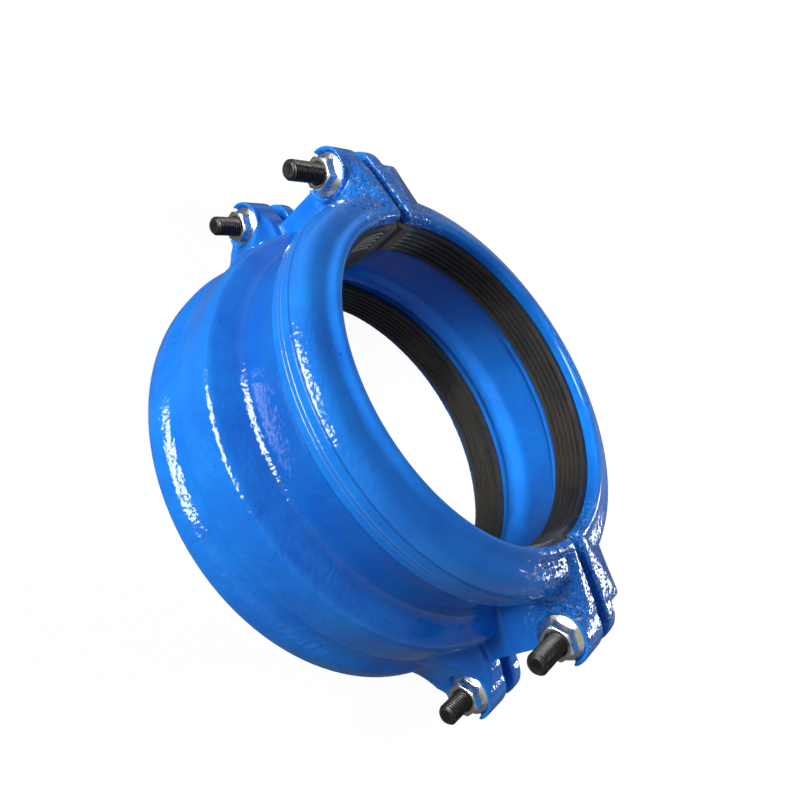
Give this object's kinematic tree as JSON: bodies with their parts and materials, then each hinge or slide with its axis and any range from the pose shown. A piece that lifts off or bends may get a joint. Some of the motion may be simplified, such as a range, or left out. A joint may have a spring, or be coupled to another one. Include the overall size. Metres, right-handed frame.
{
  "type": "reducing repair coupling",
  "caption": "Split cast coupling that clamps a narrow pipe to a wider one with ribbed rubber gaskets, side lugs, track bolts and flange nuts.",
  "frame": {"origin": "centre of the wide mouth, in the plane that the coupling stands on", "axes": "+Z along the pipes towards the narrow mouth; +X along the bolts towards their heads; the lugs are at +Y and -Y"},
  "size_m": [0.289, 0.362, 0.123],
  "materials": {
    "shell": "thick glossy blue epoxy over ductile iron, orange peel",
    "gasket": "dark moulded rubber, dull sheen",
    "bolt": "black oxide, oiled",
    "nut": "bright zinc plating"
  },
  "bodies": {
    "nut_half": {"shell_nut_half": "shell", "gasket_nut_half": "gasket"},
    "bolt_half": {"shell_bolt_half": "shell", "gasket_bolt_half": "gasket", "track_bolt_upper_left": "bolt", "track_bolt_upper_right": "bolt", "track_bolt_lower_left": "bolt", "track_bolt_lower_right": "bolt"},
    "nut_upper_left": {"flange_nut_upper_left": "nut"},
    "nut_upper_right": {"flange_nut_upper_right": "nut"},
    "nut_lower_left": {"flange_nut_lower_left": "nut"},
    "nut_lower_right": {"flange_nut_lower_right": "nut"}
  },
  "joints": [
    {"name": "clamp_gap", "type": "slide", "parent": "nut_half", "child": "bolt_half", "axis": [1, 0, 0], "range_m": [-0.0008, 0.016]},
    {"name": "nut_turn_upper_left", "type": "hinge", "parent": "nut_half", "child": "nut_upper_left", "pos_m": [-0.021, 0.147, 0.1], "axis": [-1, 0, 0], "range_deg": [-170, 3300]},
    {"name": "nut_turn_upper_right", "type": "hinge", "parent": "nut_half", "child": "nut_upper_right", "pos_m": [-0.021, -0.147, 0.1], "axis": [-1, 0, 0], "range_deg": [-170, 3300]},
    {"name": "nut_turn_lower_left", "type": "hinge", "parent": "nut_half", "child": "nut_lower_left", "pos_m": [-0.021, 0.165, 0.021], "axis": [-1, 0, 0], "range_deg": [-170, 3300]},
    {"name": "nut_turn_lower_right", "type": "hinge", "parent": "nut_half", "child": "nut_lower_right", "pos_m": [-0.021, -0.165, 0.021], "axis": [-1, 0, 0], "range_deg": [-170, 3300]}
  ],
  "couplings": [
    {"joint": "nut_turn_upper_left", "follows": "clamp_gap", "rad_per_m": 3590.4},
    {"joint": "nut_turn_upper_right", "follows": "clamp_gap", "rad_per_m": 3590.4},
    {"joint": "nut_turn_lower_left", "follows": "clamp_gap", "rad_per_m": 3590.4},
    {"joint": "nut_turn_lower_right", "follows": "clamp_gap", "rad_per_m": 3590.4}
  ]
}
